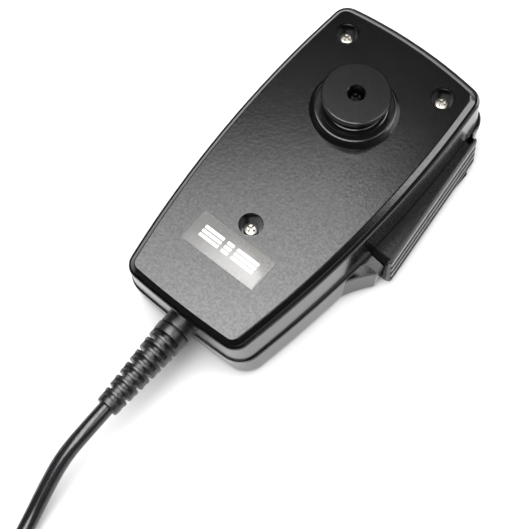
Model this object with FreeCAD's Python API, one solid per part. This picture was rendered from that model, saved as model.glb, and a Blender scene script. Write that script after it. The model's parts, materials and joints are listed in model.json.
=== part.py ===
import FreeCAD, Part
import math
import os

# Hand microphone. It lies face down: +Z comes out of the back, +Y runs to the top end,
# the push-to-talk lever is on +X and the cord leaves at the -Y end.
# Modelled about the lower case screw, then moved so that the origin is the centre of
# the microphone's own box on the surface that it lies on.

os.makedirs("parts", exist_ok=True)
V = FreeCAD.Vector

# ---- driving dimensions, mm ----
HEIGHT = 31.0            # front face to back plateau
Z_SPLIT = 16.2           # parting plane of the two covers
WALL = 2.0
SIDE_W0, SIDE_W1, SIDE_W2 = 23.32, 0.1152, -0.001376   # plateau half width against y
END_Y0, END_K = -31.13, 0.0017                         # plateau lower edge
TOP_Y0, TOP_K = 76.10, 0.0035                          # plateau upper edge
CORNER_R = 2.3
RIM_M = 3.0              # rim of the back cover stands this far outside the plateau
LIP_M = 3.55             # front cover lip
FLARE = 0.011            # the front cover widens this much per mm towards the top end

SCREW_X, SCREW_Y = 17.97, 68.0      # two upper case screws; the lower one is at 0, 0
CBORE_R, CBORE_SEAT = 3.42, 4.5
HEAD_R, HEAD_H, SHANK_R = 2.2, 1.7, 1.25

BUTTON_Y = 48.2
BUTTON_FLANGE_R, BUTTON_HEAD_R, BUTTON_NECK_R, BUTTON_H = 13.45, 10.3, 6.6, 9.8

PIVOT_X, PIVOT_Y = 25.4, 65.8
PIN_R = 0.8
PRESS_DEG = 3.0
LEVER_Z0, LEVER_Z1 = 2.9, 15.2
PLUNGER_Y, PLUNGER_Z = 35.0, 9.6
SPRING_Y = 27.2

CORD_D = 4.8
CORD_Z = 16.0            # height of the cord's exit
BOOT_END_Y = -64.2
COIL_X, COIL_Y, COIL_R = -27.5, -148.0, 26.0
COIL_W, COIL_Z0, COIL_Z1 = 20.0, 0.9, 10.6
LAST_R, LAST_Z = 31.0, 12.35         # the last part turn lies on top of the others
PLUG_R, RING_R = 8.0, 9.4

BOX_X = (-30.10, 36.78)  # the microphone's own extent across
BOX_Y = (-33.18, 82.45)  # and along


# ---- helpers ----
def half_width(y):
    return SIDE_W0 + SIDE_W1 * y + SIDE_W2 * y * y


def box(x0, x1, y0, y1, z0, z1):
    return Part.makeBox(x1 - x0, y1 - y0, z1 - z0, V(x0, y0, z0))


def cyl(x, y, z0, z1, r):
    return Part.makeCylinder(r, z1 - z0, V(x, y, z0))


def bar(p, q, r):
    p, q = V(*p), V(*q)
    return Part.makeCylinder(r, (q - p).Length, p, q - p)


def wire_run(points, r):
    s = [bar(p, q, r) for p, q in zip(points, points[1:])]
    s += [Part.makeSphere(r, V(*p)) for p in points[1:-1]]
    return s[0].multiFuse(s[1:]).Solids[0]


def prism(points, z0, z1):
    pts = [V(x, y, z0) for x, y in points]
    return Part.Face(Part.makePolygon(pts + [pts[0]])).extrude(V(0, 0, z1 - z0))


def lathe(profile, x=0.0, y=0.0, z=0.0):
    # profile is a closed list of (radius, height)
    pts = [V(r, 0, h) for r, h in profile]
    s = Part.Face(Part.makePolygon(pts + [pts[0]])).revolve(V(0, 0, 0), V(0, 0, 1), 360)
    s.translate(V(x, y, z))
    return s


def group(shapes):
    return Part.makeCompound(shapes)


def fuse(shapes):
    s = shapes[0].multiFuse(shapes[1:]) if len(shapes) > 1 else shapes[0]
    return s.removeSplitter()


def one(s):
    return s.Solids[0] if len(s.Solids) == 1 else s


def rounded(s, radius, pick):
    edges = [e for e in s.Edges if pick(e)]
    return s.makeFillet(radius, edges) if edges else s


def case_face(lift, flare=0.0, top=0.0, left=0.0, soft=0.0):
    # the plateau's outline; lift moves the lower end in, for its draught, top moves the top
    # end out, left draws the -X side in, flare widens the sides towards the top end and
    # soft adds to the corner radius
    def half_width(y):
        return SIDE_W0 + SIDE_W1 * y + SIDE_W2 * y * y + flare * (y - END_Y0)

    def low(x):
        return END_Y0 + lift + END_K * x * x

    def high(x):
        return TOP_Y0 + top - TOP_K * x * x

    xb, xt = 18.0, 24.0
    for _ in range(30):
        xb = half_width(low(xb))
        xt = half_width(high(xt))
    yb, yt = low(xb), high(xt)
    ym = 0.5 * (yb + yt)
    a, b, c, d = V(xb, yb, 0), V(xt, yt, 0), V(left - xt, yt, 0), V(left - xb, yb, 0)
    wire = Part.Wire([
        Part.Arc(a, V(half_width(ym), ym, 0), b).toShape(),
        Part.Arc(b, V(0, high(0), 0), c).toShape(),
        Part.Arc(c, V(left - half_width(ym), ym, 0), d).toShape(),
        Part.Arc(d, V(0, low(0), 0), a).toShape(),
    ])
    r = CORNER_R + soft
    return Part.Face(wire).makeOffset2D(-r).makeOffset2D(r)


def outline(m, z, lift=0.0, flare=0.0, top=0.0, left=0.0, soft=0.0):
    f = case_face(lift, flare, top, left, soft)
    w = f.makeOffset2D(m).OuterWire if abs(m) > 1e-6 else f.OuterWire
    w = w.copy()
    w.translate(V(0, 0, z))
    return w


def stack(levels):
    # ruled walls between outlines: levels are (offset, height, lift, flare, top, left, soft)
    return Part.makeLoft([outline(*level) for level in levels], True, True)


# ---- back cover ----
back_outer = stack([
    (RIM_M, Z_SPLIT, 2.4, 0.006, 2.7, 0.0, 1.5),
    (RIM_M, 28.6, 0.95, 0.001, 0.3, 1.25),
    (RIM_M - 0.25, 29.15, 0.85, 0.0, 0.25, 1.15),
    (RIM_M - 0.65, 29.4, 0.75, 0.0, 0.2, 1.05),
    (RIM_M - 0.92, 29.1, 0.6, 0.0, 0.15, 0.95),
    (1.72, 29.6, 0.4, 0.0, 0.1, 0.85),
    (0.35, 30.8, 0.05, 0.0, 0.0, 0.55),
    (0.0, HEIGHT, 0.0, 0.0, 0.0, 0.5),
])
back_inner = stack([
    (RIM_M - WALL, Z_SPLIT - 1.0, 2.45, 0.0, 2.7, 0.0, 1.5),
    (RIM_M - WALL, 27.2, 1.1, 0.0, 0.5, 1.15),
    (-0.8, 29.0, 0.9, 0.0, 0.1, 0.9),
])
seat_z = HEIGHT - CBORE_SEAT
tube_z = seat_z - 1.8
screws_at = [(0.0, 0.0), (SCREW_X, SCREW_Y), (-SCREW_X, SCREW_Y)]
back = back_outer.cut(back_inner)
adds = [cyl(x, y, tube_z, HEIGHT - 1.0, 5.0) for x, y in screws_at]
adds.append(cyl(0, BUTTON_Y, 27.2, 29.6, 6.5))                    # pad behind the hanger button
adds.append(cyl(PIVOT_X, PIVOT_Y, Z_SPLIT, 22.0, 2.4).common(back_outer))   # upper seat of the pivot pin
adds.append(box(-15.0, 15.0, 14.0, 15.4, 27.0, 29.5))             # stiffening ribs under the roof
adds.append(box(-15.0, 15.0, 28.0, 29.4, 27.0, 29.5))
back = back.multiFuse(adds)
cuts = []
for x, y in screws_at:
    cuts.append(cyl(x, y, seat_z, HEIGHT + 1, CBORE_R))
    cuts.append(cyl(x, y, tube_z - 1, HEIGHT, 1.5))
    cuts.append(Part.makeCone(CBORE_R, CBORE_R + 0.35, 0.6, V(x, y, HEIGHT - 0.35)))
cuts.append(cyl(0, BUTTON_Y, 20, HEIGHT + 1, 1.6))
cuts.append(cyl(PIVOT_X, PIVOT_Y, Z_SPLIT - 1, 20.6, PIN_R + 0.05))
cuts.append(bar((0, -40, CORD_Z), (0, -27, CORD_Z), 5.2))          # upper half of the cord outlet
back_cover = one(back.cut(fuse(cuts)).removeSplitter())

# ---- front cover ----
front_outer = stack([
    (0.9, 0.0, 5.0, FLARE, 1.6, 0.0, 1.5),
    (2.3, 0.55, 4.85, FLARE, 1.7, 0.0, 1.5),
    (3.05, 1.9, 4.6, FLARE, 1.8, 0.0, 1.5),
    (3.35, 4.5, 4.2, FLARE, 2.0, 0.0, 1.5),
    (3.55, 14.75, 2.7, FLARE, 2.8, 0.0, 1.5),
    (3.2, 14.85, 2.65, FLARE, 2.8, 0.0, 1.5),
    (3.2, 15.15, 2.6, FLARE, 2.8, 0.0, 1.5),
    (LIP_M - 0.05, 15.25, 2.6, FLARE, 2.8, 0.0, 1.5),
    (LIP_M, 15.85, 2.55, FLARE, 2.8, 0.0, 1.5),
    (LIP_M - 0.35, Z_SPLIT, 2.5, FLARE, 2.8, 0.0, 1.5),
])
front_inner = stack([
    (0.4, 2.2, 4.9, 0.0, 1.7, 0.0, 1.5),
    (1.2, 3.0, 4.7, 0.0, 1.8, 0.0, 1.5),
    (RIM_M - WALL + 0.5, 14.0, 2.8, 0.0, 2.7, 0.0, 1.5),
    (RIM_M - WALL + 0.1, Z_SPLIT + 1.0, 2.45, 0.0, 2.7, 0.0, 1.5),
])


def shoulder_wire(z, out, low_y, high_y):
    # flared cheek around the lever, in plan: a hollow curve out, a straight, and a slope back
    p = [V(20.0, low_y, z), V(half_width(low_y) + 2.2, low_y, z)]
    q = V(out, 17.2, z)
    r = V(out, 66.0, z)
    s = V(half_width(high_y) + 2.2, high_y, z)
    t = V(20.0, high_y, z)
    edges = [Part.LineSegment(p[0], p[1]).toShape(),
             Part.Arc(p[1], V(0.5 * (p[1].x + out) + 0.05, 0.5 * (low_y + 17.2) + 1.6, z), q).toShape(),
             Part.LineSegment(q, r).toShape(), Part.LineSegment(r, s).toShape(),
             Part.LineSegment(s, t).toShape(), Part.LineSegment(t, p[0]).toShape()]
    return Part.Wire(edges)


shoulder = Part.makeLoft([
    shoulder_wire(0.7, 32.2, 4.5, 77.0),
    shoulder_wire(3.0, 33.4, 3.5, 77.8),
    shoulder_wire(13.0, 33.8, 3.5, 77.8),
    shoulder_wire(13.9, 33.4, 3.8, 77.6),
    shoulder_wire(15.0, 29.6, 5.2, 76.4),
], True, True)
front = front_outer.fuse(shoulder).cut(front_inner)
f_adds = [cyl(x, y, 1.5, tube_z - 0.1, 3.4) for x, y in screws_at]
board_posts = [(-15.0, 9.0), (-15.0, 39.0), (10.5, 9.0)]
f_adds += [cyl(x, y, 1.5, 5.2, 2.4) for x, y in board_posts]
f_adds.append(cyl(0, 52.0, 1.5, 4.9, 10.6).cut(cyl(0, 52.0, 1.0, 7.0, 9.4)))    # ring round the capsule
clamp_posts = [(-8.0, -22.0), (8.0, -22.0)]
f_adds += [cyl(x, y, 1.5, 18.2, 2.6) for x, y in clamp_posts]
f_adds.append(box(-3.2, 3.2, -24.0, -20.0, 1.5, CORD_Z - CORD_D / 2))            # saddle under the cord
f_adds.append(box(17.6, 19.2, SPRING_Y - 2.8, SPRING_Y + 2.8, 1.5, 12.5))                            # spring abutment
f_adds.append(cyl(PIVOT_X, PIVOT_Y, 0.6, 2.4, 2.4))
front = front.multiFuse(f_adds)
BAY_Y0, BAY_Y1 = 20.3, 71.7
f_cuts = [box(23.4, 40, BAY_Y0, 69.3, 2.4, 20.0), box(28.6, 40, BAY_Y0, BAY_Y1, 2.4, 20.0)]
f_cuts += [cyl(x, y, 12.0, 30.0, SHANK_R) for x, y in screws_at]
f_cuts += [cyl(x, y, 2.8, 6.0, 0.95) for x, y in board_posts]
f_cuts += [cyl(x, y, 9.0, 20.0, 0.95) for x, y in clamp_posts]
f_cuts.append(cyl(PIVOT_X, PIVOT_Y, 1.0, 3.0, PIN_R))
f_cuts.append(bar((0, -40, CORD_Z), (0, -27, CORD_Z), 5.2))                      # lower half of the cord outlet
f_cuts.append(cyl(0, 52.0, -1.0, 0.7, 17.0))                                     # shallow grille dish
for i in range(-4, 5):
    half = math.sqrt(max(0.0, 13.4 ** 2 - (3.0 * i) ** 2))
    y = 52.0 + 3.0 * i
    slot = box(-half, half, y - 0.75, y + 0.75, -1.0, 3.0)
    f_cuts += [slot, cyl(-half, y, -1.0, 3.0, 0.75), cyl(half, y, -1.0, 3.0, 0.75)]
front_cover = one(front.cut(fuse(f_cuts)).removeSplitter())

# ---- case screws: pan head with a cross recess, self-tapping shank ----
def cross_recess(x, y, ztop, r, depth):
    c = box(x - r, x + r, y - 0.28, y + 0.28, ztop - depth, ztop + 1)
    d = box(x - 0.28, x + 0.28, y - r, y + r, ztop - depth, ztop + 1)
    return c.fuse(d).common(Part.makeCone(0.5, r * 1.25, depth + 0.4, V(x, y, ztop - depth)))


def pan_screw(x, y, z, head_r, head_h, shank_r, length):
    prof = [(0, -length), (shank_r * 0.35, -length), (shank_r, -length + 1.4), (shank_r, 0), (head_r, 0),
            (head_r, head_h * 0.45), (head_r * 0.86, head_h * 0.82), (head_r * 0.55, head_h), (0, head_h)]
    s = lathe(prof, x, y, z)
    return one(s.cut(cross_recess(x, y, z + head_h, head_r * 0.62, head_h * 0.62)))


case_screws = group([pan_screw(x, y, seat_z, HEAD_R, HEAD_H, SHANK_R, 11.5) for x, y in screws_at])

# ---- hanger button, its screw and nut ----
b0 = [(1.65, 0.0), (13.45, 0.0), (13.45, 0.35), (12.35, 1.95), (12.0, 2.25), (11.6, 2.35), (9.95, 2.35),
      (9.9, 2.75), (9.6, 3.0), (9.0, 3.0), (8.9, 3.3), (8.6, 3.45), (7.6, 3.45), (6.8, 3.8), (BUTTON_NECK_R, 4.4),
      (BUTTON_NECK_R, 6.9), (6.9, 7.35), (7.4, 7.5), (9.7, 7.5), (10.15, 7.65), (BUTTON_HEAD_R, 8.0),
      (BUTTON_HEAD_R, 9.35), (10.15, 9.68), (9.85, BUTTON_H), (2.82, BUTTON_H), (2.6, BUTTON_H - 0.25),
      (2.58, 6.2), (2.55, 5.6), (1.65, 5.6)]
hanger_button = lathe(b0, 0, BUTTON_Y, HEIGHT)
hanger_screw = pan_screw(0, BUTTON_Y, HEIGHT + 5.6, 2.45, 1.75, 1.45, 13.4)
nut = Part.Face(Part.makePolygon([V(3.18 * math.cos(math.radians(60 * k)), BUTTON_Y + 3.18 * math.sin(math.radians(60 * k)), 24.8)
                                  for k in range(7)])).extrude(V(0, 0, 2.4))
hanger_nut = nut.cut(cyl(0, BUTTON_Y, 20, 30, 1.45))

# ---- stick-on plate under the lower screw ----
label_plate = box(-13.0, 13.2, -15.6, -4.8, HEIGHT, HEIGHT + 0.18)
label_plate = rounded(label_plate, 0.5, lambda e: abs(e.Vertexes[0].Z - e.Vertexes[-1].Z) > 0.1)

# ---- push-to-talk lever ----
lever_out = [(34.70, 21.0), (30.45, 68.6)]
lever_plan = [(27.2, 21.0), lever_out[0], lever_out[1], (25.4, 68.6), (23.2, 67.2), (22.7, 65.4), (24.6, 60.2), (26.9, 56.5)]
lever = prism(lever_plan, LEVER_Z0, LEVER_Z1)
pocket = prism([(20.0, 23.0), (32.6, 23.0), (29.4, 57.6), (26.0, 57.6), (20.0, 57.6)], LEVER_Z0 + 1.8, LEVER_Z1 - 1.8)
lever = lever.cut(pocket)
pusher = box(25.1, 32.9, PLUNGER_Y - 1.2, PLUNGER_Y + 1.2, LEVER_Z0 + 0.9, LEVER_Z1 - 0.9)
spring_post = bar((26.4, SPRING_Y, 9.0), (33.6, SPRING_Y, 9.0), 1.45)
spring_seat = bar((28.4, SPRING_Y, 9.0), (33.6, SPRING_Y, 9.0), 3.4)
hook = box(23.7, 25.75, 16.2, 22.4, 5.2, 13.0)
hook_web = box(23.7, 29.0, 21.0, 23.1, 5.2, 13.0)
rib = box(26.9, 31.9, 45.0, 46.4, LEVER_Z0 + 0.9, LEVER_Z1 - 0.9)
lever = lever.multiFuse([pusher, spring_post, spring_seat, hook, hook_web, rib])
lever = lever.cut(cyl(PIVOT_X, PIVOT_Y, 0, 20, PIN_R + 0.05))
slope = Part.Face(Part.makePolygon([V(26.0, 20.9, 13.7), V(26.0, 22.9, 15.3), V(26.0, 20.9, 15.3), V(26.0, 20.9, 13.7)]))
lever = lever.cut(slope.extrude(V(10.0, 0, 0)))        # sloping top of the free end
ptt_lever = one(lever.removeSplitter())

# ---- ribbed grip pad on the lever ----
PAD_Z0, PAD_Z1 = 2.9, 15.9
PAD_OUT = [(36.74, 22.5), (32.30, 70.7)]
pad_in = [lever_out[0][0] + (lever_out[1][0] - lever_out[0][0]) * (y - lever_out[0][1]) / (lever_out[1][1] - lever_out[0][1]) for y in (21.1, 71.2)]
pad_plan = [(pad_in[0], 21.1), (36.1, 21.1), (36.6, 21.4), (36.78, 21.9), PAD_OUT[0], PAD_OUT[1], (31.9, 71.2), (pad_in[1], 71.2)]
pad = prism(pad_plan, PAD_Z0, PAD_Z1)
ux, uy = PAD_OUT[1][0] - PAD_OUT[0][0], PAD_OUT[1][1] - PAD_OUT[0][1]
ul = math.hypot(ux, uy)
ux, uy = ux / ul, uy / ul
nx, ny = uy, -ux
for zc in (12.4, 8.9, 5.4):
    a = (PAD_OUT[0][0] + ux * 1.2 - nx * 0.65, PAD_OUT[0][1] + uy * 1.2 - ny * 0.65)
    b = (PAD_OUT[0][0] + ux * 60 - nx * 0.65, PAD_OUT[0][1] + uy * 60 - ny * 0.65)
    c = (b[0] + nx * 2, b[1] + ny * 2)
    d = (a[0] + nx * 2, a[1] + ny * 2)
    pad = pad.cut(prism([a, b, c, d], zc - 0.55, zc + 0.55))
ptt_pad = one(pad)

# ---- pivot pin and return spring ----
pivot_pin = cyl(PIVOT_X, PIVOT_Y, 1.0, 20.4, PIN_R)
ptt_return_spring = bar((19.3, SPRING_Y, 9.0), (28.3, SPRING_Y, 9.0), 2.4).cut(bar((19.0, SPRING_Y, 9.0), (29.0, SPRING_Y, 9.0), 1.6))

# ---- circuit board and what is soldered on it ----
board = box(-19.0, 19.5, 5.0, 43.0, 5.2, 6.8)
board = board.cut(box(16.8, 20.0, 4.0, 30.6, 5.0, 7.0))
for x, y in board_posts:
    board = board.cut(cyl(x, y, 5, 7, 1.1))
circuit_board = one(board)
board_screws = group([pan_screw(x, y, 6.8, 1.9, 1.3, 0.95, 3.8) for x, y in board_posts])
switch_body = box(13.0, 21.4, 31.0, 39.0, 6.8, 12.6)
switch_body = switch_body.cut(box(14.4, 22.0, PLUNGER_Y - 1.3, PLUNGER_Y + 1.3, PLUNGER_Z - 1.3, PLUNGER_Z + 1.3))
switch_body = rounded(switch_body, 0.4, lambda e: abs(e.Vertexes[0].X - 13.0) < 1e-3 and abs(e.Vertexes[-1].X - 13.0) < 1e-3)
switch_plunger = box(16.4, 24.4, PLUNGER_Y - 1.2, PLUNGER_Y + 1.2, PLUNGER_Z - 1.2, PLUNGER_Z + 1.2)
tip = bar((24.4, PLUNGER_Y, PLUNGER_Z), (24.9, PLUNGER_Y, PLUNGER_Z), 1.0)
switch_plunger = one(switch_plunger.fuse(tip).removeSplitter())
electrolytic_capacitors = group([lathe([(0, 0), (2.3, 0), (2.5, 0.25), (2.5, 1.1), (2.3, 1.4), (2.5, 1.7), (2.5, 7.0), (2.2, 7.3), (0, 7.3)], x, y, 6.85)
                                 for x, y in ((-9.0, 34.0), (-2.0, 36.0))])
ceramic_capacitors = group([box(x - 1.6, x + 1.6, y - 0.8, y + 0.8, 6.8, 9.0) for x, y in ((-9.0, 20.0), (-4.0, 20.0), (5.0, 26.0), (5.0, 31.0))])
resistors = group([bar((x, y, 8.0), (x, y + 6.0, 8.0), 1.15) for x, y in ((-14.5, 15.0), (-14.5, 24.0), (9.5, 16.0), (3.4, 16.6))])
audio_chip = box(-5.5, 0.5, 23.6, 29.6, 6.8, 8.5)
cord_terminals = box(-9.4, 9.4, 7.6, 11.4, 6.8, 12.4).cut(box(-4.2, 4.2, 7.0, 9.0, 6.0, 13.0))
cord_terminals = one(cord_terminals)
cord_terminals.translate(V(-1.2, 3.4, 0))

# ---- capsule behind the grille ----
dust_cloth = cyl(0, 52.0, 2.2, 2.8, 9.3)
capsule_holder = lathe([(4.9, 2.85), (9.2, 2.85), (9.2, 4.2), (7.6, 5.0), (7.6, 10.2), (4.0, 10.2), (4.0, 9.62), (4.9, 9.62)], 0, 52.0, 0)
microphone_capsule = lathe([(0, 2.85), (4.4, 2.85), (4.85, 3.2), (4.85, 9.2), (4.6, 9.6), (0, 9.6)], 0, 52.0, 0)

# ---- cord clamp, its screws, the tail of the cord and the leads ----
cord_clamp = box(-11.0, 11.0, -24.4, -19.6, 18.45, 20.6)
for x, y in clamp_posts:
    cord_clamp = cord_clamp.cut(cyl(x, y, 18, 21, 1.15))
cord_clamp = one(cord_clamp)
clamp_screws = group([pan_screw(x, y, 20.6, 2.0, 1.4, 0.95, 9.0) for x, y in clamp_posts])
cord_tail = bar((0, BOOT_END_Y, CORD_Z), (0, -17.0, CORD_Z), CORD_D / 2)
leads = []
for sx in (-1, 1):
    leads.append(bar((sx * 1.1, -16.9, CORD_Z + 0.9), (sx * 8.8 - 1.2, 10.6, 11.2), 0.5))
    leads.append(bar((sx * 1.1, -16.9, CORD_Z - 0.9), (sx * 7.3 - 1.2, 10.6, 8.6), 0.5))
    leads.append(wire_run([(sx * 1.2, 50.0, 9.65), (sx * 1.2, 50.0, 10.8), (sx * 1.2, 43.4, 10.8), (sx * 1.2, 41.0, 6.9)], 0.45))
inner_leads = group(leads)

# ---- strain relief: collar, band and tapering slotted rings on a core ----
def boot_r(y):
    # outer radius falls from the band to the end
    return 5.35 + (3.45 - 5.35) * (y - (-35.1)) / (BOOT_END_Y - (-35.1))


sections = [(-27.2, 6.4), (-28.8, 6.4), (-28.8, 5.1), (-34.6, 5.1), (-34.8, 4.9), (-34.9, 4.3), (-35.15, 4.3), (-35.2, 5.2), (-35.5, 5.35)]
GAP_PITCH, GAP_W, GAPS = 2.285, 1.1, 11
sections += [(-37.7, boot_r(-37.7)), (-37.95, boot_r(-37.95) - 0.25)]
for k in range(GAPS):
    ya = -38.5 - GAP_PITCH * k + GAP_W / 2
    yb = ya - GAP_W
    yc = yb - (GAP_PITCH - GAP_W) if k < GAPS - 1 else BOOT_END_Y
    core = 2.95 - 0.02 * k
    sections += [(ya - 0.05, core), (yb + 0.03, core), (yb, boot_r(yb) - 0.16), (yb - 0.18, boot_r(yb)), (yc + 0.18, boot_r(yc)), (yc, boot_r(yc) - 0.16)]
boot_profile = [(r, -yy) for yy, r in sections]
boot_profile = [(CORD_D / 2, 27.2)] + boot_profile + [(CORD_D / 2, -BOOT_END_Y)]
boot = lathe(boot_profile)
boot.rotate(V(0, 0, 0), V(1, 0, 0), 90)     # +Z of the profile now points along -Y
boot.translate(V(0, 0, CORD_Z))
webs = []
for k in range(GAPS):
    # the gaps are open above and below, then on both sides, by turns
    ya = -38.5 - GAP_PITCH * k + GAP_W / 2 + 0.3
    yb = ya - GAP_W - 0.6
    r = boot_r(ya) - 0.3
    if k % 2 == 0:
        webs.append(box(-r, r, yb, ya, CORD_Z - 0.47 * r, CORD_Z + 0.47 * r))
    else:
        webs.append(box(-0.31 * r, 0.31 * r, yb, ya, CORD_Z - r, CORD_Z + r))
web_all = group(webs).common(bar((0, -30, CORD_Z), (0, BOOT_END_Y, CORD_Z), 5.0))
strain_relief = boot.multiFuse(web_all.Solids).cut(bar((0, -20, CORD_Z), (0, -70, CORD_Z), CORD_D / 2))
strain_relief = one(strain_relief.removeSplitter())

# ---- free cord: runs joined by tangent arcs, then the coil of the put-away length ----
cord_points = [
    (0.0, BOOT_END_Y, CORD_Z), (0.0, -73.2, CORD_Z), (-0.5, -82.0, 13.5), (0.6, -91.2, 9.4),
    (2.3, -100.2, 5.4), (4.3, -110.2, 3.3), (5.75, -120.6, 3.3), (6.0, -130.6, 3.3), (6.05, -139.3, 3.3),
]


def cord_wire(points, frac=0.45):
    pts = [V(*p) for p in points]
    edges, radii, length = [], [], 0.0
    last = pts[0]
    for i in range(1, len(pts) - 1):
        p, c, n = pts[i - 1], pts[i], pts[i + 1]
        a, b = (p - c), (n - c)
        run = min(a.Length, b.Length)
        turn = math.pi - a.getAngle(b)
        cut = frac * run
        rad = cut / math.tan(turn / 2)
        radii.append(rad)
        a.normalize()
        b.normalize()
        s, e = c + a * cut, c + b * cut
        bis = (a + b)
        bis.normalize()
        mid = c + bis * (rad / math.cos(turn / 2) - rad)
        edges.append(Part.LineSegment(last, s).toShape())
        arc = Part.Arc(s, mid, e).toShape()
        edges.append(arc)
        length += edges[-2].Length + arc.Length
        last = e
    edges.append(Part.LineSegment(last, pts[-1]).toShape())
    length += edges[-1].Length
    return Part.Wire(edges), radii, length


def tube(points, radius):
    wire, radii, length = cord_wire(points)
    d = V(*points[1]) - V(*points[0])
    prof = Part.Wire([Part.makeCircle(radius, V(*points[0]), d)])
    s = wire.makePipeShell([prof], True, False)
    return s, radii, length


cord, cord_radii, cord_len = tube(cord_points, CORD_D / 2)
print("cord length %.2f volume %.1f expected %.1f radii %s" % (
    cord_len, cord.Volume, cord_len * math.pi * CORD_D ** 2 / 4, " ".join("%.0f" % r for r in cord_radii)))


def coil_section(grow, x0=0.0):
    r0, r1 = COIL_R - COIL_W / 2 - grow, COIL_R + COIL_W / 2 + grow
    z0, z1 = COIL_Z0 - grow, COIL_Z1 + grow
    c = 3.2 + grow
    return [(r0 + c, z0), (r1 - c, z0), (r1 - 0.3 * c, z0 + 0.3 * c), (r1, z0 + c), (r1, z1 - c), (r1 - 0.3 * c, z1 - 0.3 * c), (r1 - c, z1),
            (r0 + c, z1), (r0 + 0.3 * c, z1 - 0.3 * c), (r0, z1 - c), (r0, z0 + c), (r0 + 0.3 * c, z0 + 0.3 * c)]


EXIT_DEG = 180.0
ring_turns = lathe(coil_section(0.0), COIL_X, COIL_Y)
last_turn = Part.Face(Part.Wire([Part.makeCircle(CORD_D / 2, V(LAST_R, 0, LAST_Z), V(0, 1, 0))])).revolve(V(0, 0, 0), V(0, 0, 1), EXIT_DEG - 360.0)
last_turn.translate(V(COIL_X, COIL_Y, 0))
cord_coil = one(ring_turns.fuse(last_turn))
TIE_DEG, TIE_HALF = 100.0, 8.0
pts = [V(r, 0, z) for r, z in coil_section(0.8)]
tie = Part.Face(Part.makePolygon(pts + [pts[0]])).revolve(V(0, 0, 0), V(0, 0, 1), 2 * TIE_HALF)
tie.rotate(V(0, 0, 0), V(0, 0, 1), TIE_DEG - TIE_HALF)
tie.translate(V(COIL_X, COIL_Y, 0))
coil_tie = one(tie.cut(cord_coil))

# ---- plug at the end of the cord: it lies beside the coil along EXIT ----
ex = (math.sin(math.radians(EXIT_DEG)), -math.cos(math.radians(EXIT_DEG)))
leave = (COIL_X + LAST_R * math.cos(math.radians(EXIT_DEG)), COIL_Y + LAST_R * math.sin(math.radians(EXIT_DEG)))
PLUG_S = 40.0            # along the exit line, from where the cord leaves the coil to the plug's boot
tail_points = [(leave[0] + ex[0] * d, leave[1] + ex[1] * d, z)
               for d, z in ((-1.5, LAST_Z), (9.5, 13.3), (18.5, 13.0), (27.0, 10.7), (34.0, RING_R), (PLUG_S, RING_R))]
cord_end, end_radii, end_len = tube(tail_points, CORD_D / 2)
print("cord end length %.2f volume %.1f expected %.1f radii %s" % (
    end_len, cord_end.Volume, end_len * math.pi * CORD_D ** 2 / 4, " ".join("%.0f" % r for r in end_radii)))


def on_plug(s):
    # built along +Z from the cord end, laid down along the exit line
    s = s.copy()
    s.rotate(V(0, 0, 0), V(0, 1, 0), 90)
    s.rotate(V(0, 0, 0), V(0, 0, 1), math.degrees(math.atan2(ex[1], ex[0])))
    s.translate(V(leave[0] + ex[0] * PLUG_S, leave[1] + ex[1] * PLUG_S, RING_R))
    return s


plug_boot = lathe([(2.4, 0), (3.3, 0), (3.5, 0.4), (4.6, 7.6), (5.6, 8.0), (5.6, 9.9), (2.4, 9.9)])
shell = lathe([(5.75, 8.2), (6.9, 8.2), (7.6, 8.8), (PLUG_R, 9.6), (PLUG_R, 25.4), (7.7, 25.8), (7.2, 25.8), (7.2, 28.0),
               (6.3, 28.0), (6.3, 11.6), (5.75, 11.0)])
shell = shell.cut(bar((0, 0, 20.0), (12, 0, 20.0), 1.25))
ring_prof = [(7.35, 26.2), (8.6, 26.2), (8.9, 26.5), (RING_R, 27.2), (RING_R, 36.8), (9.1, 37.4), (8.0, 37.4), (8.0, 28.5), (7.35, 28.2)]
ring = lathe(ring_prof)
flutes = []
for k in range(18):
    a = math.radians(20 * k + 10)
    flutes.append(bar(((RING_R + 0.35) * math.cos(a), (RING_R + 0.35) * math.sin(a), 28.6), ((RING_R + 0.35) * math.cos(a), (RING_R + 0.35) * math.sin(a), 36.0), 0.75))
ring = ring.cut(group(flutes))
insert = lathe([(0, 20.0), (6.25, 20.0), (6.25, 28.0), (6.7, 28.0), (6.7, 36.6), (6.4, 37.0), (0, 37.0)])
insert = insert.cut(box(5.9, 8.0, -1.0, 1.0, 28.0, 38.0))
sockets, holes = [], []
for k in range(7):
    a = math.radians(360.0 / 7 * k)
    x, yy = 4.2 * math.cos(a), 4.2 * math.sin(a)
    holes.append(bar((x, yy, 18.0), (x, yy, 38.0), 0.95))
    sockets.append(bar((x, yy, 17.6), (x, yy, 36.4), 0.95).cut(bar((x, yy, 28.0), (x, yy, 37.0), 0.55)))
holes.append(bar((0, 0, 18.0), (0, 0, 38.0), 0.95))
sockets.append(bar((0, 0, 17.6), (0, 0, 36.4), 0.95).cut(bar((0, 0, 28.0), (0, 0, 37.0), 0.55)))
insert = insert.cut(group(holes))
screw = lathe([(0, 0), (1.2, 0), (1.2, 1.75), (0, 1.75)])
screw = screw.cut(box(-1.3, 1.3, -0.2, 0.2, 1.25, 2.2))
screw.rotate(V(0, 0, 0), V(0, 1, 0), 90)
screw.translate(V(6.3, 0, 20.0))
# the screw faces up once the plug is laid down
plug_nodes = {"plug_boot": plug_boot, "plug_shell": shell, "plug_coupling_ring": ring, "plug_insert": insert,
              "plug_contacts": group(sockets), "plug_shell_screw": screw}
for n in list(plug_nodes):
    s = plug_nodes[n].copy()
    if n != "plug_coupling_ring":
        s.rotate(V(0, 0, 0), V(0, 0, 1), 180)
    plug_nodes[n] = on_plug(s)

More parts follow.
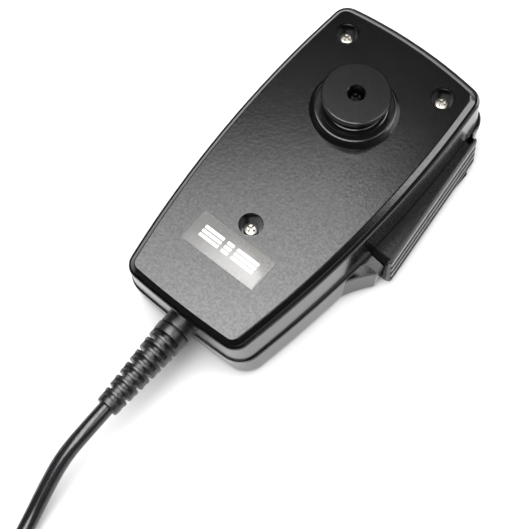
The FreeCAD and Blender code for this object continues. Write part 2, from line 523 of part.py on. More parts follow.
# ---- write every piece ----
nodes = {
    "back_cover": back_cover, "front_cover": front_cover, "case_screws": case_screws,
    "hanger_button": hanger_button, "hanger_screw": hanger_screw, "hanger_nut": hanger_nut,
    "label_plate": label_plate, "ptt_lever": ptt_lever, "ptt_pad": ptt_pad, "pivot_pin": pivot_pin,
    "ptt_return_spring": ptt_return_spring, "circuit_board": circuit_board, "board_screws": board_screws,
    "switch_body": switch_body, "switch_plunger": switch_plunger,
    "electrolytic_capacitors": electrolytic_capacitors, "ceramic_capacitors": ceramic_capacitors,
    "resistors": resistors, "audio_chip": audio_chip, "cord_terminals": cord_terminals,
    "dust_cloth": dust_cloth, "capsule_holder": capsule_holder, "microphone_capsule": microphone_capsule,
    "cord_clamp": cord_clamp, "clamp_screws": clamp_screws, "cord_tail": cord_tail, "inner_leads": inner_leads,
    "strain_relief": strain_relief, "cord": cord, "cord_coil": cord_coil, "coil_tie": coil_tie, "cord_end": cord_end,
}
nodes.update(plug_nodes)
shift = V(-(BOX_X[0] + BOX_X[1]) / 2, -(BOX_Y[0] + BOX_Y[1]) / 2, 0)
free = ("cord", "cord_coil", "coil_tie", "cord_end", "strain_relief", "plug_boot", "plug_shell", "plug_coupling_ring",
        "plug_insert", "plug_contacts", "plug_shell_screw", "cord_tail")
bb = FreeCAD.BoundBox()
for name, shape in nodes.items():
    s = shape.copy()
    s.translate(shift)
    if name not in free:
        bb.add(s.BoundBox)
    ok = s.isValid() and all(x.isClosed() for x in s.Shells)
    print("%-24s solids %d vol %9.1f %s  %s" % (name, len(s.Solids), s.Volume, "ok" if ok else "BAD",
          " ".join("%.2f" % v for v in (s.BoundBox.XMin, s.BoundBox.XMax, s.BoundBox.YMin, s.BoundBox.YMax, s.BoundBox.ZMin, s.BoundBox.ZMax))))
    s.exportStep("parts/%s.step" % name)
print("own box", bb)
print("plug axis point", tuple(V(leave[0] + ex[0] * PLUG_S, leave[1] + ex[1] * PLUG_S, RING_R) + shift), "dir", ex)
print("pivot", PIVOT_X + shift.x, PIVOT_Y + shift.y, "shift", shift)
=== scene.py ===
import json
import math

import bmesh
import bpy
from mathutils import Matrix, Vector


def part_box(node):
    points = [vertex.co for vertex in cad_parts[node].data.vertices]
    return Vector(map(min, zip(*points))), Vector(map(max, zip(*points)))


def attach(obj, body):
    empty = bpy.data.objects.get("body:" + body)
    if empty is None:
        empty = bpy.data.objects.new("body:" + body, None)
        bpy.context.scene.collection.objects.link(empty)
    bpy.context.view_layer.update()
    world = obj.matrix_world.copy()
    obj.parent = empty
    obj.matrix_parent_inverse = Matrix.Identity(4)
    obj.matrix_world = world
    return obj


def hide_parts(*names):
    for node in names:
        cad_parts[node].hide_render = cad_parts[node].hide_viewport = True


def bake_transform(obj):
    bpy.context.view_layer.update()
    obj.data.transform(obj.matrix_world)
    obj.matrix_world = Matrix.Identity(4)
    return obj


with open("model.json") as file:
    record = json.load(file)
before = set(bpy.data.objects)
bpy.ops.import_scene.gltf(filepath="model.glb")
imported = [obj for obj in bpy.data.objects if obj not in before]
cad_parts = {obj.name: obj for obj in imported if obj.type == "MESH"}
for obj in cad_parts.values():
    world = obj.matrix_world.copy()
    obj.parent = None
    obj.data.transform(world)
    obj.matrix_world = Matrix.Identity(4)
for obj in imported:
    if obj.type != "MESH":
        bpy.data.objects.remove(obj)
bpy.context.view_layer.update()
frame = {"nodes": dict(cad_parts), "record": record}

# Hand microphone. Everything is in metres in the row frame; at() turns the drawing's
# millimetres, which are counted from the lower case screw, into that frame.
button_lo, button_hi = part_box("hanger_button")
BUTTON_Y = 48.2
SHIFT = Vector(((button_lo.x + button_hi.x) * 500.0, (button_lo.y + button_hi.y) * 500.0 - BUTTON_Y, 0.0))
scene = bpy.context.scene


def at(x, y, z):
    return (Vector((x, y, z)) + SHIFT) / 1000.0


# ---------------------------------------------------------------- camera
az, el, roll = math.radians(39.687), math.radians(67.183), math.radians(-0.448)
back = Vector((math.sin(az) * math.cos(el), -math.cos(az) * math.cos(el), math.sin(el)))
xa = Vector((0, 0, 1)).cross(back).normalized()
ya = back.cross(xa)
x2 = xa * math.cos(roll) + ya * math.sin(roll)
y2 = -xa * math.sin(roll) + ya * math.cos(roll)
cam_data = bpy.data.cameras.new("camera")
cam = bpy.data.objects.new("camera", cam_data)
scene.collection.objects.link(cam)
eye = at(101.47, -117.465, 370.33)
cam.matrix_world = Matrix((
    (x2.x, y2.x, back.x, eye.x),
    (x2.y, y2.y, back.y, eye.y),
    (x2.z, y2.z, back.z, eye.z),
    (0, 0, 0, 1),
))
cam_data.sensor_width = 36.0
cam_data.lens = 1307.19 / 529.0 * 36.0
cam_data.clip_start, cam_data.clip_end = 0.01, 20.0
scene.camera = cam


# ---------------------------------------------------------------- materials
def principled(name):
    m = bpy.data.materials.new(name)
    m.use_nodes = True
    nt = m.node_tree
    for n in list(nt.nodes):
        nt.nodes.remove(n)
    out = nt.nodes.new("ShaderNodeOutputMaterial")
    b = nt.nodes.new("ShaderNodeBsdfPrincipled")
    nt.links.new(b.outputs[0], out.inputs[0])
    return m, nt, b


def coords(nt, scale=(1, 1, 1), rot=(0, 0, 0)):
    tc = nt.nodes.new("ShaderNodeTexCoord")
    mp = nt.nodes.new("ShaderNodeMapping")
    mp.inputs["Scale"].default_value = scale
    mp.inputs["Rotation"].default_value = rot
    nt.links.new(tc.outputs["Object"], mp.inputs["Vector"])
    return mp.outputs[0]


def noise(nt, vec, scale, detail=3.0, rough=0.5):
    n = nt.nodes.new("ShaderNodeTexNoise")
    n.inputs["Scale"].default_value = scale
    n.inputs["Detail"].default_value = detail
    n.inputs["Roughness"].default_value = rough
    nt.links.new(vec, n.inputs["Vector"])
    return n.outputs["Fac"]


def ramp(nt, fac, stops):
    r = nt.nodes.new("ShaderNodeValToRGB")
    cr = r.color_ramp
    while len(cr.elements) < len(stops):
        cr.elements.new(0.5)
    for e, (p, c) in zip(cr.elements, stops):
        e.position = p
        e.color = (c, c, c, 1) if not hasattr(c, "__len__") else (*c, 1)
    nt.links.new(fac, r.inputs[0])
    return r.outputs[0]


def bump(nt, b, height, strength, dist, normal=None):
    n = nt.nodes.new("ShaderNodeBump")
    n.inputs["Strength"].default_value = strength
    n.inputs["Distance"].default_value = dist
    nt.links.new(height, n.inputs["Height"])
    if normal is not None:
        nt.links.new(normal, n.inputs["Normal"])
    nt.links.new(n.outputs[0], b.inputs["Normal"])
    return n.outputs[0]


def metal(name, color, rough, streak=(1, 1, 1), scale=900.0, strength=0.1, dist=0.00002):
    m, nt, b = principled(name)
    v = coords(nt, streak)
    f = noise(nt, v, scale, 3.0)
    nt.links.new(ramp(nt, f, [(0.25, [c * 0.82 for c in color]), (0.75, color)]), b.inputs["Base Color"])
    nt.links.new(ramp(nt, f, [(0.2, rough * 0.7), (0.8, rough * 1.3)]), b.inputs["Roughness"])
    b.inputs["Metallic"].default_value = 1.0
    bump(nt, b, f, strength, dist)
    return m


def grained(name, dark, light, rough, cell=1900.0, strength=0.35, dist=0.00003, specular=0.5, wear=0.02, coat=0.0, glint=0.08):
    # moulded plastic with a fine spark-eroded grain: two sizes of noise under a slow cloud of tone
    m, nt, b = principled(name)
    v = coords(nt)
    cloud = noise(nt, v, 45.0, 4.0)
    nt.links.new(ramp(nt, cloud, [(0.32, dark), (0.68, light)]), b.inputs["Base Color"])
    fine = noise(nt, v, cell, 3.0, 0.65)
    vor = nt.nodes.new("ShaderNodeTexVoronoi")
    vor.inputs["Scale"].default_value = cell * 0.55
    nt.links.new(v, vor.inputs["Vector"])
    mix = nt.nodes.new("ShaderNodeMath")
    mix.operation = "MULTIPLY_ADD"
    mix.inputs[1].default_value = 0.5
    nt.links.new(vor.outputs["Distance"], mix.inputs[0])
    nt.links.new(fine, mix.inputs[2])
    nt.links.new(ramp(nt, noise(nt, v, 220.0, 3.0), [(0.3, rough - wear), (0.7, rough + wear)]), b.inputs["Roughness"])
    b.inputs["Specular IOR Level"].default_value = specular
    if coat:
        b.inputs["Coat Weight"].default_value = coat
        b.inputs["Coat Roughness"].default_value = 0.12
    if glint:
        nt.links.new(ramp(nt, fine, [(0.36, specular - glint), (0.64, specular + glint)]), b.inputs["Specular IOR Level"])
    bump(nt, b, mix.outputs[0], strength, dist)
    return m


def woven(name, dark, light, scale, strength=0.8, dist=0.00015):
    # two crossed sets of threads
    m, nt, b = principled(name)
    v = coords(nt)
    w = []
    for axis in ("X", "Y"):
        wave = nt.nodes.new("ShaderNodeTexWave")
        wave.wave_type = "BANDS"
        wave.bands_direction = axis
        wave.inputs["Scale"].default_value = scale
        wave.inputs["Distortion"].default_value = 0.6
        wave.inputs["Detail"].default_value = 1.0
        nt.links.new(v, wave.inputs["Vector"])
        w.append(wave.outputs["Fac"])
    mx = nt.nodes.new("ShaderNodeMath")
    mx.operation = "MULTIPLY"
    nt.links.new(w[0], mx.inputs[0])
    nt.links.new(w[1], mx.inputs[1])
    nt.links.new(ramp(nt, mx.outputs[0], [(0.0, dark), (1.0, light)]), b.inputs["Base Color"])
    nt.links.new(ramp(nt, noise(nt, v, scale * 2, 2.0), [(0.2, 0.8), (0.8, 0.95)]), b.inputs["Roughness"])
    b.inputs["Specular IOR Level"].default_value = 0.2
    bump(nt, b, mx.outputs[0], strength, dist)
    return m


mats = {
    "cover_plastic": grained("cover_grain", (0.0018, 0.0018, 0.0020), (0.0030, 0.0030, 0.0033), 0.165, 1500.0, 0.36, 0.00003, wear=0.005),
    "bright_zinc": metal("bright_zinc", (0.44, 0.42, 0.375), 0.36, (1, 1, 1), 1500.0, 0.6, 0.00008),
    "button_plastic": grained("button_plastic", (0.003, 0.003, 0.0034), (0.0045, 0.0045, 0.005), 0.21, 1800.0, 0.2, 0.00002, 0.33, wear=0.008),
    "black_screw": metal("black_screw", (0.022, 0.022, 0.024), 0.2, (1, 1, 1), 1200.0, 0.15, 0.00002),
    "label_silver": grained("label_film", (0.118, 0.118, 0.120), (0.150, 0.147, 0.139), 0.27, 1500.0, 0.12, 0.00002, 0.6),
    "lever_plastic": grained("lever_plastic", (0.003, 0.003, 0.0033), (0.005, 0.005, 0.0055), 0.26, 2000.0, 0.3, 0.00003, 0.2, wear=0.01),
    "pad_plastic": grained("pad_plastic", (0.003, 0.003, 0.0033), (0.005, 0.005, 0.0055), 0.2, 1600.0, 0.1, 0.00001),
    "boot_rubber": grained("boot_rubber", (0.006, 0.006, 0.0065), (0.010, 0.010, 0.011), 0.32, 1500.0, 0.22, 0.00003),
    "cord_jacket": grained("cord_jacket", (0.007, 0.007, 0.0075), (0.011, 0.011, 0.012), 0.22, 800.0, 0.15, 0.00003),
    "tie_fabric": woven("tie_fabric", (0.006, 0.006, 0.006), (0.03, 0.03, 0.03), 900.0),
    "spring_steel": metal("spring_steel", (0.62, 0.61, 0.59), 0.24, (1, 1, 1), 1500.0, 0.1, 0.00002),
    "board_laminate": grained("board_laminate", (0.012, 0.10, 0.035), (0.02, 0.15, 0.05), 0.35, 700.0, 0.3, 0.00004),
    "switch_plastic": grained("switch_plastic", (0.012, 0.012, 0.012), (0.02, 0.02, 0.02), 0.42),
    "plunger_plastic": grained("plunger_plastic", (0.42, 0.03, 0.02), (0.5, 0.04, 0.03), 0.4),
    "capacitor_can": grained("capacitor_can", (0.02, 0.03, 0.10), (0.03, 0.04, 0.14), 0.3, 600.0),
    "ceramic_body": grained("ceramic_body", (0.30, 0.20, 0.09), (0.38, 0.26, 0.12), 0.55, 900.0),
    "resistor_body": grained("resistor_body", (0.52, 0.38, 0.18), (0.60, 0.45, 0.24), 0.4, 700.0),
    "terminal_plastic": grained("terminal_plastic", (0.66, 0.63, 0.52), (0.74, 0.71, 0.60), 0.45, 700.0),
    "dust_cloth": woven("dust_cloth", (0.004, 0.004, 0.004), (0.02, 0.02, 0.02), 1300.0),
    "soft_rubber": grained("soft_rubber", (0.010, 0.010, 0.010), (0.016, 0.016, 0.016), 0.55, 900.0),
    "capsule_metal": metal("capsule_metal", (0.76, 0.76, 0.75), 0.3, (1, 1, 12), 500.0),
    "lead_copper": grained("lead_copper", (0.55, 0.10, 0.06), (0.62, 0.14, 0.08), 0.4, 500.0),
    "plug_chrome": metal("plug_chrome", (0.78, 0.77, 0.75), 0.16, (1, 1, 1), 500.0, 0.1, 0.00002),
    "insert_plastic": grained("insert_plastic", (0.008, 0.008, 0.008), (0.013, 0.013, 0.013), 0.42),
    "contact_gold": metal("contact_gold", (0.85, 0.62, 0.22), 0.2, (1, 1, 1), 900.0),
}
slot_of = {s["node"]: s["material_slot"] for s in frame["record"]["subparts"]}
for name, ob in frame["nodes"].items():
    ob.data.materials.clear()
    ob.data.materials.append(mats[slot_of[name]])
    ob.data.shade_smooth()
    ob.data.set_sharp_from_angle(angle=math.radians(32.0))


# ---------------------------------------------------------------- mesh helpers, all in local millimetres
def piece(name, verts, faces, slot, body, smooth=40.0, stands_for=(), material=None):
    me = bpy.data.meshes.new(name)
    me.from_pydata([tuple(at(*v)) for v in verts], [], faces)
    bm = bmesh.new()
    bm.from_mesh(me)
    bmesh.ops.remove_doubles(bm, verts=bm.verts, dist=1e-7)
    bmesh.ops.recalc_face_normals(bm, faces=bm.faces)
    bm.to_mesh(me)
    bm.free()
    ob = bpy.data.objects.new(name, me)
    scene.collection.objects.link(ob)
    me.materials.append(material or mats[slot])
    me.shade_smooth()
    me.set_sharp_from_angle(angle=math.radians(smooth))
    if body:
        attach(ob, body)
    if stands_for:
        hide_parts(*stands_for)
    return ob


class Build:
    def __init__(self):
        self.v, self.f = [], []

    def rings(self, rings, closed=False, cap=True):
        # skin over rings of equal size
        n = len(rings[0])
        base = len(self.v)
        for r in rings:
            self.v.extend(r)
        m = len(rings)
        for i in range(m if closed else m - 1):
            a, b = base + i * n, base + ((i + 1) % m) * n
            for k in range(n):
                k2 = (k + 1) % n
                self.f.append((a + k, a + k2, b + k2, b + k))
        if cap and not closed:
            self.f.append(tuple(base + k for k in range(n))[::-1])
            self.f.append(tuple(base + (m - 1) * n + k for k in range(n)))

    def lathe(self, profile, place, n=96, a0=0.0, a1=360.0):
        # profile is a closed loop of (radius, height); place maps (x, y, h) to local millimetres
        full = abs(a1 - a0 - 360.0) < 1e-6
        steps = n if full else max(3, int(n * (a1 - a0) / 360.0)) + 1
        rings = []
        for k in range(steps):
            a = math.radians(a0 + (a1 - a0) * k / (n if full else steps - 1))
            rings.append([place(r * math.cos(a), r * math.sin(a), h) for r, h in profile])
        self.rings(rings, closed=full, cap=not full)

    def done(self, name, slot, body="case", smooth=40.0, stands_for=(), material=None):
        return piece(name, self.v, self.f, slot, body, smooth, stands_for, material)


def rounded_loop(points, radius, steps=4):
    # closed polygon in 2-D with every corner rounded
    out = []
    n = len(points)
    for i in range(n):
        p = Vector(points[i - 1])
        c = Vector(points[i])
        q = Vector(points[(i + 1) % n])
        r = radius[i] if hasattr(radius, "__len__") else radius
        u, w = (p - c), (q - c)
        lu, lw = u.length, w.length
        u.normalize()
        w.normalize()
        turn = math.pi - u.angle(w)
        if r <= 0 or turn < 1e-3:
            out.append(tuple(c))
            continue
        cut = min(r * math.tan(turn / 2), 0.48 * lu, 0.48 * lw)
        rr = cut / math.tan(turn / 2)
        mid = (u + w).normalized()
        o = c + mid * (rr / math.cos(turn / 2))
        s, e = c + u * cut, c + w * cut
        a0 = math.atan2(s.y - o.y, s.x - o.x)
        a1 = math.atan2(e.y - o.y, e.x - o.x)
        d = (a1 - a0 + math.pi) % (2 * math.pi) - math.pi
        for k in range(steps + 1):
            a = a0 + d * k / steps
            out.append((o.x + rr * math.cos(a), o.y + rr * math.sin(a)))
    return out


CORD_R, CORD_Z, BOOT_END_Y = 2.4, 16.0, -64.2


def along_y(x, y, h):
    # a lathe whose height runs along -Y at the height of the cord
    return (x, -h, CORD_Z + y)


# ---------------------------------------------------------------- strain relief
def boot_r(y):
    return 5.35 + (3.45 - 5.35) * (y - (-35.1)) / (BOOT_END_Y - (-35.1))


boot = Build()
PITCH, GAP = 2.285, 1.1
collar = rounded_loop([(CORD_R, 27.2), (6.4, 27.2), (6.4, 28.8), (5.1, 28.8), (5.1, 34.75), (4.3, 34.85), (4.3, 35.15), (5.32, 35.2),
                       (boot_r(-37.95), 37.95), (CORD_R, 37.95)], [0, 0.2, 0.2, 0.3, 0.28, 0.05, 0.05, 0.3, 0.22, 0], 5)
boot.lathe(collar, along_y, 128)
boot.lathe([(CORD_R, 37.8), (2.95, 37.8), (2.75, 62.2), (CORD_R, 62.2)], along_y, 64)
for k in range(11):
    ya = 38.5 + PITCH * k + GAP / 2
    yb = 38.5 + PITCH * (k + 1) - GAP / 2 if k < 10 else -BOOT_END_Y
    ra, rb = boot_r(-ya), boot_r(-yb)
    boot.lathe(rounded_loop([(CORD_R, ya), (ra, ya), (rb, yb), (CORD_R, yb)], [0, 0.26, 0.26 if k < 10 else 0.5, 0], 4), along_y, 112)
    g0, g1 = 38.5 + PITCH * k - GAP / 2 - 0.25, ya + 0.25
    half, turn = (28.0, (0.0, 180.0)) if k % 2 == 0 else (18.0, (90.0, 270.0))
    r = boot_r(-(g0 + g1) / 2) - 0.12
    for t in turn:
        boot.lathe([(2.7, g0), (r, g0), (r, g1), (2.7, g1)], along_y, 112, t - half, t + half)
relief = boot.done("boot_ringed", "boot_rubber", stands_for=["strain_relief"])

tail_in = Build()
tail_in.lathe(rounded_loop([(0.6, 17.0), (2.4, 17.0), (2.4, 20.4), (2.33, 20.8), (2.33, 23.2), (2.4, 23.6), (2.4, 64.19), (0.6, 64.19)],
                           [0, 0.3, 0.2, 0.2, 0.2, 0.2, 0, 0], 3), along_y, 48)
tail_in.done("cord_tail_jacket", "cord_jacket", stands_for=["cord_tail"])

# ---------------------------------------------------------------- free cord, its coil and the plug's end of it
COIL_X, COIL_Y = -27.5, -148.0
Z1, Z2, Z3 = 3.3, 8.15, 12.35
PER = 24


def ease(u):
    u = max(0.0, min(1.0, u))
    return u * u * (3 - 2 * u)


def turn_at(t):
    # radius and height after t turns: down the lower layer to the middle, out again on the second, then on top
    seq = [(33.5, Z1), (28.5, Z1), (23.5, Z1), (18.5, Z1), (18.5, Z2), (23.5, Z2), (28.5, Z2), (33.5, Z2)]
    n = int(math.floor(t + 1e-9))
    u = (t - n - 0.80) / 0.16
    if n <= 6:
        (r0, z0), (r1, z1) = seq[n], seq[n + 1]
        r, z = r0 + (r1 - r0) * ease(u), z0 + (z1 - z0) * ease(u)
        if n == 3:
            r -= 3.0 * math.sin(math.pi * max(0.0, min(1.0, u)))
        return r, z
    r = 33.5 - 2.5 * ease((t - 7.86) / 0.2)
    if n == 7:
        r += 1.6 * math.sin(math.pi * max(0.0, min(1.0, (t - 7.74) / 0.2)))
        return r, Z2 + (Z3 + 0.9 - Z2) * ease((t - 7.74) / 0.16) - 0.9 * ease((t - 8.0) / 0.1)
    return r, Z3 + 0.9 - 0.9 * ease((t - 8.0) / 0.1)


route = [(0.0, BOOT_END_Y, CORD_Z), (0.0, -73.2, CORD_Z), (-0.5, -82.0, 13.5), (0.6, -91.2, 9.4), (2.3, -100.2, 5.4),
         (4.3, -110.2, 3.3), (5.75, -120.6, 3.3), (6.0, -130.6, 3.3), (6.05, -139.3, 3.3)]
fit = 1.0 / (0.5 * (1 + math.cos(math.pi / PER)))
EXIT = math.radians(180.0)
turns = 8 + 180 / 360.0
steps = int(turns * PER)
for i in range(steps + 1):
    r, z = turn_at(i / PER)
    a = -2 * math.pi * i / PER
    route.append((COIL_X + r * fit * math.cos(a), COIL_Y + r * fit * math.sin(a), z))
ex = (math.sin(EXIT), -math.cos(EXIT))
leave = (COIL_X + 31.0 * math.cos(EXIT), COIL_Y + 31.0 * math.sin(EXIT))
route += [(leave[0] + ex[0] * d, leave[1] + ex[1] * d, z) for d, z in ((9.5, 13.3), (18.5, 13.0), (27.0, 10.7), (34.0, 9.4), (40.0, 9.4))]

cu = bpy.data.curves.new("cord_line", "CURVE")
cu.dimensions = "3D"
sp = cu.splines.new("NURBS")
sp.points.add(len(route) - 1)
for p, q in zip(sp.points, route):
    w = at(*q)
    p.co = (w.x, w.y, w.z, 1.0)
sp.order_u = 3
sp.use_endpoint_u = True
sp.resolution_u = 8
cu.resolution_u = 8
cu.bevel_depth = CORD_R / 1000.0
cu.bevel_resolution = 10
cu.use_fill_caps = True
cu.materials.append(mats["cord_jacket"])
cord = bpy.data.objects.new("cord_jacket_line", cu)
scene.collection.objects.link(cord)
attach(cord, "case")
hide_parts("cord", "cord_coil", "cord_end")


def spline_length(points):
    # length of the clamped quadratic curve that these points control
    n, total, last = len(points), 0.0, None
    for i in range(n - 2):
        a, b, c = Vector(points[i]), Vector(points[i + 1]), Vector(points[i + 2])
        p = a if i == 0 else (a + b) / 2
        q = c if i == n - 3 else (b + c) / 2
        for k in range(25):
            t = k / 24.0
            x = p * (1 - t) ** 2 + b * 2 * t * (1 - t) + q * t * t
            if last is not None:
                total += (x - last).length
            last = x
    return total


cord_mm = spline_length(route)

# strap round the coil
strap = Build()
TIE = 100.0
sect = [(15.25, 0.15), (36.75, 0.15), (36.75, 11.35), (15.25, 11.35)]
outer = rounded_loop(sect, 3.4, 6)
inner = rounded_loop([(16.0, 0.85), (36.0, 0.85), (36.0, 10.6), (16.0, 10.6)], 2.7, 6)
for lo_a, hi_a, grow in ((-7.6, 7.6, 0.0),):
    rings = []
    for da, edge in ((lo_a, 0.18), (lo_a + 0.5, 0.0), (lo_a + 1.5, 0.0), (lo_a + 1.9, 0.14), (-2.0, 0.16), (2.0, 0.16), (hi_a - 1.9, 0.14), (hi_a - 1.5, 0.0), (hi_a - 0.5, 0.0), (hi_a, 0.18)):
        a = math.radians(TIE + da)
        cr, cz = 26.0, 5.75
        ring = []
        for r, z in outer:
            k = 1.0 - edge / 10.0
            rr, zz = cr + (r - cr) * k, cz + (z - cz) * k
            ring.append((COIL_X + rr * math.cos(a), COIL_Y + rr * math.sin(a), zz))
        for r, z in reversed(inner):
            ring.append((COIL_X + r * math.cos(a), COIL_Y + r * math.sin(a), z))
        rings.append(ring)
    m = len(outer)
    # the ring is a C shaped loop: outer line forward, inner line back, so close it along its seam
    base = len(strap.v)
    n = len(rings[0])
    for r in rings:
        strap.v.extend(r)
    for i in range(len(rings) - 1):
        a, b = base + i * n, base + (i + 1) * n
        for k in range(m):
            k2 = (k + 1) % m
            strap.f.append((a + k, a + k2, b + k2, b + k))
            strap.f.append((a + m + k, b + m + k, b + m + k2, a + m + k2))
    for e in (base, base + (len(rings) - 1) * n):
        for k in range(m):
            k2 = (k + 1) % m
            strap.f.append((e + k, e + k2, e + m + (m - 1 - k2), e + m + (m - 1 - k)))
flap = []
for da in (-6.2, 6.2):
    a = math.radians(TIE + da)
    for r, z in rounded_loop([(20.0, 11.25), (33.6, 11.25), (33.6, 11.75), (20.4, 11.9)], 0.2, 3):
        flap.append((da, r, z))
half = len(flap) // 2
strap.rings([[(COIL_X + r * math.cos(math.radians(TIE + da)), COIL_Y + r * math.sin(math.radians(TIE + da)), z) for da, r, z in flap[:half]],
             [(COIL_X + r * math.cos(math.radians(TIE + da)), COIL_Y + r * math.sin(math.radians(TIE + da)), z) for da, r, z in flap[half:]]])
strap_ob = strap.done("coil_strap", "tie_fabric", stands_for=["coil_tie"])

# plug boot with grip rings
UP = (0.0, 0.0, 1.0)


def on_plug(x, y, h):
    # a lathe along the plug's axis, from the cord's end
    sx, sy = -ex[1], ex[0]
    return (leave[0] + ex[0] * (40.0 + h) + sx * x, leave[1] + ex[1] * (40.0 + h) + sy * x, 9.4 + y)


pb = Build()
prof = [(2.4, 0.0), (3.25, 0.0)]
for k in range(4):
    h = 1.5 + k * 1.6
    r = 3.5 + (4.55 - 3.5) * h / 7.6
    prof += [(r, h - 0.45), (r - 0.42, h - 0.1), (r - 0.40, h + 0.45), (r + 0.12, h + 0.75)]
prof += [(4.6, 7.6), (5.55, 8.0), (5.55, 9.9), (2.4, 9.9)]
pb.lathe(rounded_loop(prof, [0, 0.3] + [0.15] * 16 + [0.2, 0.2, 0, 0], 3), on_plug, 72)
plug_boot_ob = pb.done("plug_boot_ringed", "boot_rubber", stands_for=["plug_boot"])

# ---------------------------------------------------------------- ribbed pad on the lever
pad_a, pad_b = Vector((34.70, 21.0)), Vector((30.45, 68.6))
pad_dir = (pad_b - pad_a).normalized()
pad_out = Vector((-pad_dir.y, pad_dir.x)) * -1.0
PAD_Z = (2.9, 15.9)
pad_zs = [2.9, 2.95, 3.1, 3.3, 3.5]
for zc in (5.4, 8.9, 12.4):
    pad_zs += [zc - 0.95, zc - 0.75, zc - 0.6, zc - 0.5, zc - 0.35, zc, zc + 0.35, zc + 0.5, zc + 0.6, zc + 0.75, zc + 0.95, zc + 1.3, zc + 1.75]
pad_zs = sorted(set(round(z, 3) for z in pad_zs if z < 15.2)) + [15.2, 15.4, 15.6, 15.78, 15.86, 15.9]


def pad_ring(along, full, depth):
    ring = []
    for z in pad_zs:
        n = full - min(1.0, full - 0.3) * (z - PAD_Z[0]) / (PAD_Z[1] - PAD_Z[0])
        for zc in (5.4, 8.9, 12.4):
            d = abs(z - zc)
            if d < 0.95:
                n -= depth * (1.0 if d <= 0.36 else 0.9 if d <= 0.51 else 0.45 if d <= 0.61 else 0.16 if d <= 0.76 else 0.0)
        e = min(z - PAD_Z[0], PAD_Z[1] - z)
        if e < 0.6:
            n -= 0.6 - math.sqrt(max(0.0, 0.36 - (0.6 - e) ** 2))
        p = pad_a + pad_dir * along + pad_out * n
        ring.append((p.x, p.y, z))
    for z in (PAD_Z[1], PAD_Z[0]):
        p = pad_a + pad_dir * along
        ring.append((p.x, p.y, z))
    return ring


pad = Build()
stations = [(0.1, 1.15, 0.0), (0.16, 1.42, 0.0), (0.34, 1.72, 0.0), (0.62, 1.93, 0.0), (1.0, 2.02, 0.0), (1.9, 2.03, 0.0), (2.2, 2.03, 0.4), (2.45, 2.03, 0.8), (2.8, 2.03, 0.9)]
stations += [(2.8 + 46.0 * k / 12, 2.03, 0.9) for k in range(1, 13)]
stations += [(49.4, 2.02, 0.9), (49.9, 1.9, 0.85), (50.2, 1.72, 0.8), (50.3, 1.6, 0.7)]
pad.rings([pad_ring(*st) for st in stations])
pad_ob = pad.done("pad_ribbed", "pad_plastic", body="ptt_lever", smooth=50.0, stands_for=["ptt_pad"])
# the groove faces get a dull material with a darker base colour: painted shade in the bottoms of the grooves
pad_ob.data.materials.append(grained("pad_groove_painted_shade", (0.0015, 0.0015, 0.0016), (0.003, 0.003, 0.003), 0.75, 1600.0, 0.1, 0.00001, 0.08, glint=0.02))
for poly in pad_ob.data.polygons:
    if any(abs(poly.center.z * 1000.0 - zc) < 0.7 for zc in (5.4, 8.9, 12.4)) and abs(poly.normal.y) < 0.75:
        poly.material_index = 1

# ---------------------------------------------------------------- stick-on plate with a raised printed line
label_lo, label_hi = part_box("label_plate")
lab = Build()
for x0, x1, y0, y1, z0, z1, r in ((-13.0, 13.2, -15.6, -4.8, 31.0, 31.15, 0.55), (-12.72, 12.92, -15.32, -5.08, 31.1, 31.165, 0.4)):
    loop = rounded_loop([(x0, y0), (x1, y0), (x1, y1), (x0, y1)], r, 5)
    inset = rounded_loop([(x0 + 0.06, y0 + 0.06), (x1 - 0.06, y0 + 0.06), (x1 - 0.06, y1 - 0.06), (x0 + 0.06, y1 - 0.06)], r, 5)
    lab.rings([[(x, y, z0) for x, y in loop], [(x, y, z1 - 0.05) for x, y in loop], [(x, y, z1) for x, y in inset]])
lab.done("label_film", "label_silver", smooth=60.0, stands_for=["label_plate"])
white = grained("label_ink", (0.5, 0.5, 0.49), (0.66, 0.66, 0.65), 0.45, 1200.0, 0.15, 0.00001)
ink = Build()
for x0, x1 in ((-9.6, -2.7), (-1.5, 0.9), (2.1, 9.9)):
    for y0, y1 in ((-9.05, -8.0), (-10.5, -9.45), (-11.95, -10.9)):
        loop = rounded_loop([(x0, y0), (x1, y0), (x1, y1), (x0, y1)], 0.18, 3)
        ink.rings([[(x, y, 31.155) for x, y in loop], [(x, y, 31.18) for x, y in loop]])
ink.done("label_stripes", "label_silver", smooth=60.0, material=white)

# ---------------------------------------------------------------- return spring behind the lever
SPR = []
N_SPR, W_SPR = 5.5, 0.42
for i in range(int(N_SPR * 20) + 1):
    t = i / 20.0
    x = 19.3 + W_SPR / 2 + (9.0 - W_SPR) * (t / N_SPR)
    a = 2 * math.pi * t
    SPR.append((Vector((x, 27.2 + 2.0 * math.cos(a), 9.0 + 2.0 * math.sin(a))), a))
spring = Build()
rings = []
for p, a in SPR:
    radial = Vector((0, math.cos(a), math.sin(a)))
    rings.append([tuple(p + radial * (W_SPR / 2 * math.cos(q)) + Vector((1, 0, 0)) * (W_SPR / 2 * math.sin(q)))
                  for q in [2 * math.pi * k / 10 for k in range(10)]])
spring.rings(rings)
spring_ob = spring.done("return_spring_coil", "spring_steel", body=None)
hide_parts("ptt_return_spring")
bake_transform(spring_ob)

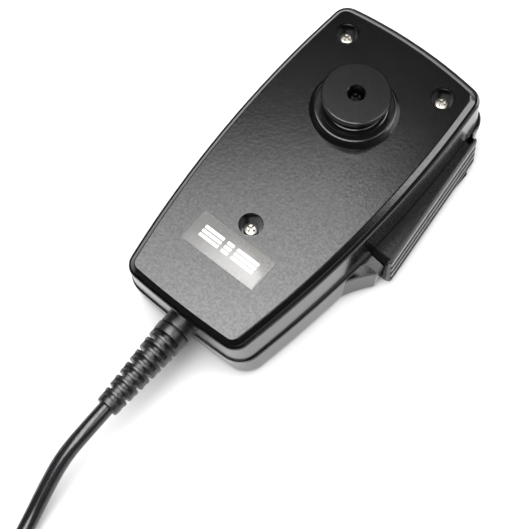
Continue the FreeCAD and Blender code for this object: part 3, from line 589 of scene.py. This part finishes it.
# ---------------------------------------------------------------- dust cloth behind the grille
cloth = Build()
RAD = [0.15, 1.2, 2.4, 3.6, 4.8, 6.0, 7.2, 8.4, 9.1, 9.25]
low_r, high_r = [], []
for r in RAD:
    lo_ring, hi_ring = [], []
    for k in range(48):
        a = 2 * math.pi * k / 48
        w = 0.07 * math.sin(3 * a + r) * min(1.0, r / 5.0) + 0.05 * math.sin(7 * a - 0.8 * r) * min(1.0, r / 8.0)
        lo_ring.append((r * math.cos(a), 52.0 + r * math.sin(a), 2.34 + w))
        hi_ring.append((r * math.cos(a), 52.0 + r * math.sin(a), 2.62 + w))
    low_r.append(lo_ring)
    high_r.append(hi_ring)
cloth.rings(low_r + high_r[::-1], closed=False)
# close the middle of both sides with the small first rings
cloth.done("dust_cloth_felt", "dust_cloth", stands_for=["dust_cloth"])

# ---------------------------------------------------------------- floor and light
fm, nt, b = principled("floor")
b.inputs["Base Color"].default_value = (0.64, 0.64, 0.64, 1)
b.inputs["Roughness"].default_value = 0.9
b.inputs["Specular IOR Level"].default_value = 0.0
me = bpy.data.meshes.new("floor")
me.from_pydata([(-3, -3, 0), (3, -3, 0), (3, 3, 0), (-3, 3, 0)], [], [(0, 1, 2, 3)])
floor = bpy.data.objects.new("floor", me)
scene.collection.objects.link(floor)
me.materials.append(fm)

world = bpy.data.worlds.new("world")
scene.world = world
world.use_nodes = True
world.node_tree.nodes["Background"].inputs[0].default_value = (1, 1, 1, 1)
world.node_tree.nodes["Background"].inputs[1].default_value = 0.035


H = 1.2
toward = Vector((math.sin(az), -math.cos(az), 0.0))
across = Vector((math.cos(az), math.sin(az), 0.0))


def panel(name, height, y0, y1, x0, x1, radiance, turn=0.0):
    # a level softbox above the table, in metres: y runs towards the viewer's side and x across
    c = toward * ((y0 + y1) / 2) + across * ((x0 + x1) / 2)
    sy, sx = abs(y0 - y1), abs(x1 - x0)
    d = bpy.data.lights.new(name, "AREA")
    d.shape = "RECTANGLE"
    d.size, d.size_y = sx, sy
    d.energy = radiance * math.pi * sx * sy
    o = bpy.data.objects.new(name, d)
    scene.collection.objects.link(o)
    o.location = (c.x, c.y, height)
    o.rotation_euler = (0.0, 0.0, az + math.radians(turn))
    return o


panel("softbox", H, 0.85, -0.605, -0.70, 0.15, 6.4)
panel("softbox_core", H - 0.05, 0.80, -0.425, -0.62, 0.13, 4.2)
panel("fill_right", H, 0.7, -0.5, 0.40, 1.1, 4.0)


def side(name, azimuth, elevation, distance, w, h, radiance):
    # an upright panel beside the table, facing the object
    a, e = math.radians(azimuth), math.radians(elevation)
    d = bpy.data.lights.new(name, "AREA")
    d.shape = "RECTANGLE"
    d.size, d.size_y = w, h
    d.energy = radiance * math.pi * w * h
    o = bpy.data.objects.new(name, d)
    scene.collection.objects.link(o)
    o.location = (distance * math.cos(e) * math.cos(a), distance * math.cos(e) * math.sin(a), distance * math.sin(e))
    o.rotation_mode = "QUATERNION"
    o.rotation_quaternion = (-Vector(o.location)).to_track_quat("-Z", "Y")
    return o


side("side_panel", 50.0, 18.0, 1.3, 1.24, 0.46, 7.0)
scene.view_settings.view_transform = "Standard"
